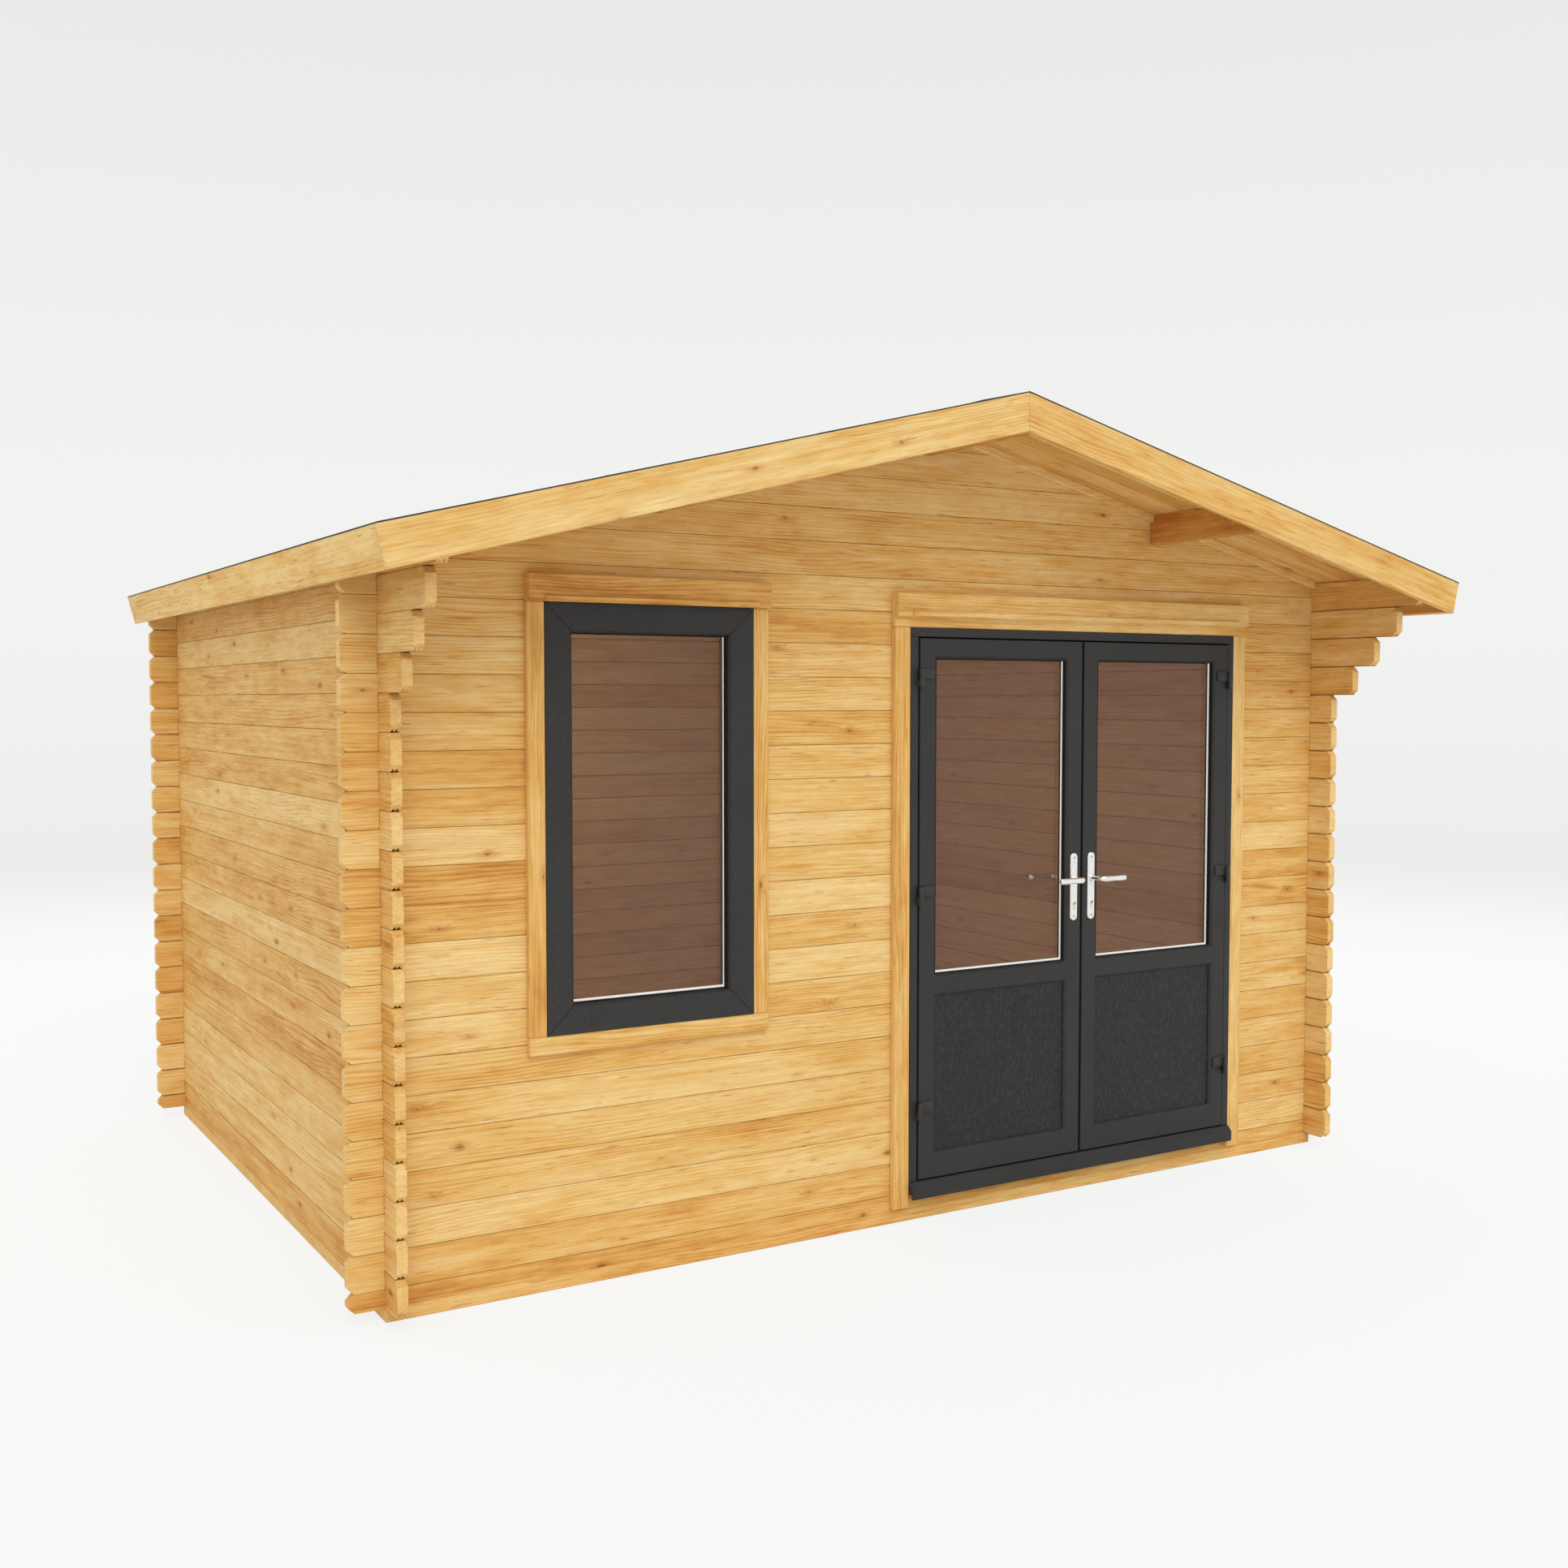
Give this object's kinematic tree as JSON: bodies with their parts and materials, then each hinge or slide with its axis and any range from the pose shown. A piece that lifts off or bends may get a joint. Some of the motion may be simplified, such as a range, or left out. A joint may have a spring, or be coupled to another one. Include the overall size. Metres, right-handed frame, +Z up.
{
  "type": "log cabin",
  "caption": "Log cabin of interlocking planed logs with a low gable roof, a deep front canopy, glazed double doors that open outward and a fixed window.",
  "frame": {"origin": "on the ground, under the middle of the roof", "axes": "+X to the right along the front wall, +Y from the front to the back, +Z up"},
  "size_m": [4.2874, 3.593, 2.8381],
  "materials": {
    "pine_logs": "planed softwood, clear finish",
    "pine_trim": "planed softwood boards",
    "pine_boards": "tongued roof and floor boards",
    "foundation_timber": "treated softwood",
    "roof_felt": "mineral roofing felt",
    "anthracite_frame": "foiled hollow profile with fine grain",
    "tinted_glass": "bronze sealed unit",
    "handle_chrome": "polished",
    "hinge_metal": "dark satin coat"
  },
  "bodies": {
    "cabin": {"back_left_bargeboard": "pine_trim", "back_right_bargeboard": "pine_trim", "back_wall_logs": "pine_logs", "door_frame": "anthracite_frame", "door_threshold": "anthracite_frame", "door_trim": "pine_trim", "floor_boards": "pine_boards", "floor_joists": "foundation_timber", "foundation_sills": "foundation_timber", "frame_hinge_knuckles": "hinge_metal", "frame_packers": "pine_trim", "front_gable_logs": "pine_logs", "front_left_bargeboard": "pine_trim", "front_right_bargeboard": "pine_trim", "front_wall_base_log": "pine_logs", "front_wall_left_logs": "pine_logs", "front_wall_middle_logs": "pine_logs", "front_wall_right_logs": "pine_logs", "front_wall_under_window_logs": "pine_logs", "gable_battens": "pine_trim", "left_eave_fascia": "pine_trim", "left_purlin": "pine_trim", "left_roof_boards": "pine_boards", "left_wall_logs": "pine_logs", "ridge_purlin": "pine_trim", "right_eave_fascia": "pine_trim", "right_purlin": "pine_trim", "right_roof_boards": "pine_boards", "right_wall_logs": "pine_logs", "roof_felt": "roof_felt", "window_frame": "anthracite_frame", "window_glass": "tinted_glass", "window_trim": "pine_trim"},
    "left_door": {"left_door_frame": "anthracite_frame", "left_door_glass": "tinted_glass", "left_door_handle_plates": "handle_chrome", "left_door_hinge_flags": "hinge_metal", "left_door_panel": "anthracite_frame"},
    "right_door": {"right_door_frame": "anthracite_frame", "right_door_glass": "tinted_glass", "right_door_handle_plates": "handle_chrome", "right_door_hinge_flags": "hinge_metal", "right_door_panel": "anthracite_frame"},
    "left_lever": {"left_door_lever": "handle_chrome"},
    "right_lever": {"right_door_lever": "handle_chrome"}
  },
  "joints": [
    {"name": "left_door_hinge", "type": "hinge", "parent": "cabin", "child": "left_door", "pos_m": [-0.057, -1.2925, 1.1], "axis": [0, 0, -1], "range_deg": [0, 100]},
    {"name": "right_door_hinge", "type": "hinge", "parent": "cabin", "child": "right_door", "pos_m": [1.433, -1.2925, 1.1], "axis": [0, 0, 1], "range_deg": [0, 100]},
    {"name": "left_lever_turn", "type": "hinge", "parent": "left_door", "child": "left_lever", "pos_m": [0.646, -1.2795, 1.183], "axis": [0, -1, 0], "range_deg": [0, 35], "stiffness_Nm_per_rad": 1.5, "springref_deg": -20.05},
    {"name": "right_lever_turn", "type": "hinge", "parent": "right_door", "child": "right_lever", "pos_m": [0.73, -1.2795, 1.183], "axis": [0, 1, 0], "range_deg": [0, 35], "stiffness_Nm_per_rad": 1.5, "springref_deg": -20.05}
  ]
}
